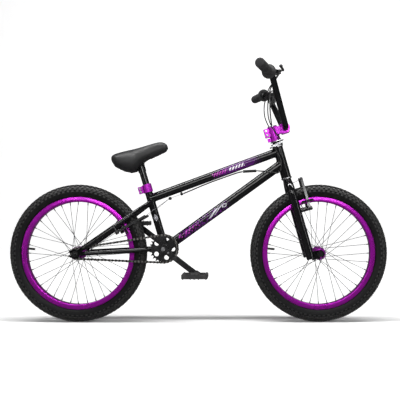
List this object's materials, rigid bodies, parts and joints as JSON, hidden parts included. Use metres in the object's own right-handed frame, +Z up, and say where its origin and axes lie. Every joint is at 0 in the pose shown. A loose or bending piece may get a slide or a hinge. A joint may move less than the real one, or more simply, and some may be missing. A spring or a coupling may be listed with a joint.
{
  "type": "bmx bike",
  "caption": "Freestyle BMX bicycle: black steel frame and fork, violet rims and stem, rim brakes and a rotor that lets the bars spin.",
  "frame": {"origin": "on the ground, midway between the axles, in the bicycle's middle plane", "axes": "+X forward, +Y to the rider's left, +Z up; the chain is at negative Y"},
  "size_m": [1.402, 0.7106, 0.9071],
  "materials": {
    "frame_paint": "gloss",
    "violet_anodised": "satin anodised",
    "rubber": "matt",
    "tyre_rubber": "matt",
    "steel": "plated",
    "black_alloy": "gloss black",
    "black_plastic": "matt",
    "saddle_vinyl": "fine grain",
    "cable_sheath": "gloss"
  },
  "bodies": {
    "frame": {"head_tube": "frame_paint", "top_tube": "frame_paint", "down_tube": "frame_paint", "seat_tube": "frame_paint", "bottom_bracket_shell": "frame_paint", "seat_stays": "frame_paint", "chain_stays": "frame_paint", "rear_dropouts": "frame_paint", "rear_brake_fittings": "frame_paint", "headset_cups": "steel", "bottom_bracket_bearings": "steel", "seat_clamp": "violet_anodised", "seat_clamp_bolts": "steel", "rear_axle": "steel", "chain": "steel", "rotor_lower_plate": "steel", "rear_brake_cable": "cable_sheath", "cable_joiner": "cable_sheath"},
    "seat_post": {"seat_post": "frame_paint"},
    "saddle": {"saddle_base": "black_plastic", "saddle_cover": "saddle_vinyl", "saddle_bolt": "steel"},
    "rear_wheel": {"rear_hub": "violet_anodised", "rear_spokes": "steel", "rear_rim": "violet_anodised", "rear_inner_tube": "rubber", "rear_tyre": "tyre_rubber"},
    "driver": {"driver": "steel"},
    "crank": {"crank_spindle": "steel", "crank_arms": "frame_paint", "chainring": "black_alloy", "crank_bolts": "steel", "pedal_axles": "steel"},
    "right_pedal": {"right_pedal": "black_plastic"},
    "left_pedal": {"left_pedal": "black_plastic"},
    "fork": {"fork_steerer": "frame_paint", "fork_legs": "frame_paint", "front_axle": "steel", "rotor_upper_plate": "steel", "steerer_clamp_ring": "violet_anodised", "stem": "violet_anodised", "stem_clamp": "violet_anodised", "stem_bolts": "steel", "handlebar": "frame_paint", "grips": "rubber", "lever_brackets": "black_alloy", "upper_cables": "cable_sheath"},
    "front_wheel": {"front_hub": "violet_anodised", "front_spokes": "steel", "front_rim": "violet_anodised", "front_inner_tube": "rubber", "front_tyre": "tyre_rubber"},
    "rotor_lower_ring": {"rotor_lower_ring": "steel"},
    "rotor_upper_ring": {"rotor_upper_ring": "steel"},
    "front_brake_lever": {"front_brake_lever": "black_alloy"},
    "rear_brake_lever": {"rear_brake_lever": "black_alloy"},
    "front_brake_arm_left": {"front_brake_arm_left": "black_alloy"},
    "front_brake_arm_right": {"front_brake_arm_right": "black_alloy"},
    "rear_brake_arm_left": {"rear_brake_arm_left": "black_alloy"},
    "rear_brake_arm_right": {"rear_brake_arm_right": "black_alloy"}
  },
  "joints": [
    {"name": "steering", "type": "hinge", "parent": "frame", "child": "fork", "pos_m": [0.31083, 0, 0.59082], "axis": [-0.274, 0, 0.9617], "continuous": true},
    {"name": "front_wheel_spin", "type": "hinge", "parent": "fork", "child": "front_wheel", "pos_m": [0.446, 0, 0.255], "axis": [0, 1, 0], "continuous": true},
    {"name": "rear_wheel_spin", "type": "hinge", "parent": "frame", "child": "rear_wheel", "pos_m": [-0.446, 0, 0.255], "axis": [0, 1, 0], "continuous": true},
    {"name": "crank_turn", "type": "hinge", "parent": "frame", "child": "crank", "pos_m": [-0.12428, 0, 0.273], "axis": [0, 1, 0], "continuous": true, "deforming": ["chain"]},
    {"name": "driver_turn", "type": "hinge", "parent": "frame", "child": "driver", "pos_m": [-0.446, 0, 0.255], "axis": [0, 1, 0], "continuous": true},
    {"name": "right_pedal_spin", "type": "hinge", "parent": "crank", "child": "right_pedal", "pos_m": [-0.00448, -0.13, 0.18273], "axis": [0, 1, 0], "continuous": true},
    {"name": "left_pedal_spin", "type": "hinge", "parent": "crank", "child": "left_pedal", "pos_m": [-0.24407, 0.13, 0.36327], "axis": [0, 1, 0], "continuous": true},
    {"name": "seat_height", "type": "slide", "parent": "frame", "child": "seat_post", "axis": [-0.2857, 0, 0.9583], "range_m": [-0.03, 0.05]},
    {"name": "saddle_tilt", "type": "hinge", "parent": "seat_post", "child": "saddle", "pos_m": [-0.21855, 0, 0.58925], "axis": [0, 1, 0], "range_deg": [-8, 8]},
    {"name": "front_brake_lever_pull", "type": "hinge", "parent": "fork", "child": "front_brake_lever", "pos_m": [0.2869, 0.21841, 0.88275], "axis": [-0.0263, -0.0348, 0.999], "range_deg": [0, 18], "stiffness_Nm_per_rad": 0.6, "springref_deg": -8.59, "deforming": ["upper_cables"]},
    {"name": "rear_brake_lever_pull", "type": "hinge", "parent": "fork", "child": "rear_brake_lever", "pos_m": [0.2869, -0.21841, 0.88275], "axis": [0.0263, -0.0348, -0.999], "range_deg": [0, 18], "stiffness_Nm_per_rad": 0.6, "springref_deg": -8.59, "deforming": ["rear_brake_cable"]},
    {"name": "front_brake_arm_left_turn", "type": "hinge", "parent": "fork", "child": "front_brake_arm_left", "pos_m": [0.40939, 0.052, 0.42185], "axis": [0.9617, 0, 0.274], "range_deg": [0, 5]},
    {"name": "front_brake_arm_right_turn", "type": "hinge", "parent": "fork", "child": "front_brake_arm_right", "pos_m": [0.40939, -0.052, 0.42185], "axis": [-0.9617, 0, -0.274], "range_deg": [0, 5]},
    {"name": "rear_brake_arm_left_turn", "type": "hinge", "parent": "frame", "child": "rear_brake_arm_left", "pos_m": [-0.29509, 0.052, 0.33462], "axis": [0.5, 0, -0.866], "range_deg": [0, 5]},
    {"name": "rear_brake_arm_right_turn", "type": "hinge", "parent": "frame", "child": "rear_brake_arm_right", "pos_m": [-0.29509, -0.052, 0.33462], "axis": [-0.5, 0, 0.866], "range_deg": [0, 5]},
    {"name": "rotor_lower_slide", "type": "slide", "parent": "frame", "child": "rotor_lower_ring", "axis": [-0.274, 0, 0.9617], "range_m": [0, 0.0065]},
    {"name": "rotor_upper_slide", "type": "slide", "parent": "fork", "child": "rotor_upper_ring", "axis": [-0.274, 0, 0.9617], "range_m": [0, 0.0065]}
  ],
  "couplings": [
    {"joint": "driver_turn", "follows": "crank_turn", "ratio": 2.7778},
    {"joint": "front_brake_arm_left_turn", "follows": "front_brake_lever_pull", "ratio": 0.27778},
    {"joint": "front_brake_arm_right_turn", "follows": "front_brake_lever_pull", "ratio": 0.27778},
    {"joint": "rear_brake_arm_left_turn", "follows": "rear_brake_lever_pull", "ratio": 0.27778},
    {"joint": "rear_brake_arm_right_turn", "follows": "rear_brake_lever_pull", "ratio": 0.27778},
    {"joint": "rotor_lower_slide", "follows": "rear_brake_lever_pull", "m_per_rad": 0.02069},
    {"joint": "rotor_upper_slide", "follows": "rear_brake_lever_pull", "m_per_rad": 0.02069}
  ]
}
